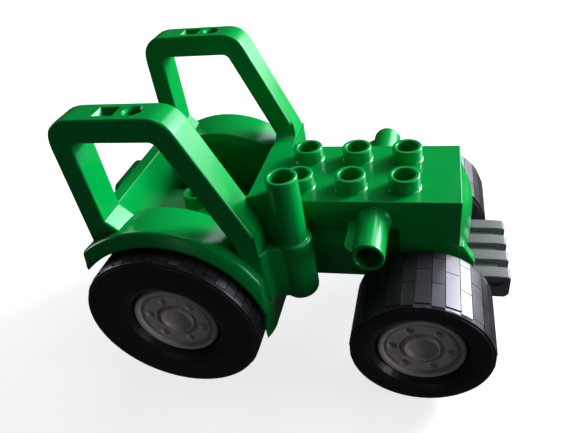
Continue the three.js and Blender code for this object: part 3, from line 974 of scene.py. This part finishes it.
def black_rubber():
    material, tree, surface, where = shader("black_rubber")
    colour = tint(tree, noise(tree, where, 90), (0.012, 0.011, 0.014), (0.018, 0.017, 0.021))
    tree.links.new(colour, surface.inputs["Base Color"])
    tree.links.new(spread(tree, noise(tree, where, 220, 5), 0.29, 0.39), surface.inputs["Roughness"])
    surface.inputs["Specular Tint"].default_value = (0.88, 0.88, 1.0, 1)
    relief(tree, surface, [(noise(tree, where, 120, 1), 0.2, 0.2), (noise(tree, where, 1500, 2), 0.15, 0.06)])
    return material


def light_grey_plastic():
    material, tree, surface, where = shader("light_grey_plastic")
    colour = tint(tree, noise(tree, where, 120), (0.54, 0.5, 0.5), (0.6, 0.555, 0.56))
    tree.links.new(colour, surface.inputs["Base Color"])
    tree.links.new(spread(tree, noise(tree, where, 350, 5), 0.34, 0.48), surface.inputs["Roughness"])
    relief(tree, surface, [(noise(tree, where, 1200, 2), 0.15, 0.06)])
    return material


def steel():
    material, tree, surface, where = shader("steel")
    colour = tint(tree, noise(tree, where, 200), (0.52, 0.52, 0.53), (0.64, 0.64, 0.65))
    tree.links.new(colour, surface.inputs["Base Color"])
    surface.inputs["Metallic"].default_value = 1
    tree.links.new(spread(tree, noise(tree, where, 900, 4), 0.25, 0.4), surface.inputs["Roughness"])
    relief(tree, surface, [(noise(tree, where, 2500, 2), 0.1, 0.03)])
    return material


def floor_paint():
    material, tree, surface, where = shader("floor_paint")
    colour = tint(tree, noise(tree, where, 4), (0.4, 0.4, 0.4), (0.44, 0.44, 0.44))
    tree.links.new(colour, surface.inputs["Base Color"])
    surface.inputs["Roughness"].default_value = 0.9
    surface.inputs["Specular IOR Level"].default_value = 0.1
    surface.inputs["Emission Color"].default_value = (1, 1, 1, 1)
    surface.inputs["Emission Strength"].default_value = 0.78
    return material


# ---- stage --------------------------------------------------------------------------------
def floor():
    """Pale floor that curves up into a round backdrop. It throws no light back on the tractor."""
    profile = [(0, 0), (600, 0), (2400, 0)]
    for k in range(1, 13):
        turn = math.pi / 2 * k / 12
        profile.append((2400 + 700 * math.sin(turn), 700 * (1 - math.cos(turn))))
    profile.append((3100, 2600))
    thing = turned("floor", profile, 96, False)
    for face in thing.data.polygons:
        face.use_smooth = True
    thing.data.materials.append(floor_paint())
    thing.visible_diffuse = False
    thing.visible_glossy = False
    thing.visible_shadow = False
    return thing


def area_light(name, place, target, width, height, power, colour):
    light = bpy.data.lights.new(name, "AREA")
    light.shape = "RECTANGLE"
    light.size = width
    light.size_y = height
    light.energy = power
    light.color = colour
    thing = bpy.data.objects.new(name, light)
    thing.location = place
    aim = Vector(target) - Vector(place)
    thing.rotation_euler = aim.to_track_quat("-Z", "Y").to_euler()
    thing.visible_camera = False
    bpy.context.scene.collection.objects.link(thing)
    return thing


def lights():
    area_light("key", (0.88, 0.68, 0.46), (0, 0, 0.04), 0.42, 0.42, 25, (0.95, 0.97, 1.0))
    area_light("window", (0.72, 0.74, 0.45), (0, 0, 0.04), 1.0, 0.9, 14, (0.88, 0.94, 1.0))
    area_light("top", (0.1, 0.5, 1.3), (0, 0, 0.04), 0.8, 0.8, 3, (1, 1, 1))
    area_light("front", (1.25, 0.02, 0.3), (0, 0, 0.03), 0.6, 0.5, 6, (0.95, 0.97, 1.0))
    area_light("low", (1.1, -0.42, 0.12), (0, 0, 0.03), 0.4, 0.3, 1.6, (1, 0.95, 0.97))
    area_light("rear", (-1.2, 0.2, 0.3), (0, 0, 0.04), 0.6, 0.4, 2.5, (1, 1, 1))
    area_light("fill", (-0.3, -1.3, 0.5), (0, 0, 0.04), 0.3, 0.9, 0.35, (1, 0.93, 0.96))
    world = bpy.data.worlds.new("studio")
    world.use_nodes = True
    background = world.node_tree.nodes["Background"]
    background.inputs["Color"].default_value = (0.95, 0.97, 1.0, 1)
    background.inputs["Strength"].default_value = 0.03
    scene = bpy.context.scene
    scene.world = world
    scene.view_settings.view_transform = "Standard"


def camera():
    data = bpy.data.cameras.new("camera")
    data.sensor_width = 36
    data.lens = 32.319
    data.shift_x = -0.0785
    data.shift_y = 0.0387
    data.clip_start = 0.01
    right = Vector((0.98128, 0.16304, -0.10246))
    down = Vector((0.02744, -0.64507, -0.76363))
    ahead = Vector((-0.19060, 0.74653, -0.63747))
    turn = Matrix((right, -down, -ahead)).transposed().to_4x4()
    thing = bpy.data.objects.new("camera", data)
    thing.matrix_world = Matrix.Translation((0.04090, -0.13555, 0.14550)) @ turn
    bpy.context.scene.collection.objects.link(thing)
    bpy.context.scene.camera = thing


# ---- the tractor --------------------------------------------------------------------------
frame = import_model()
camera()
body_moulding(green_plastic())
chassis_frame(dark_grey_plastic())
wheels(black_rubber(), light_grey_plastic())
metal = steel()
for node in ("front_axle", "rear_axle"):
    for slot in frame["nodes"][node].material_slots:
        slot.material = metal
floor()
lights()
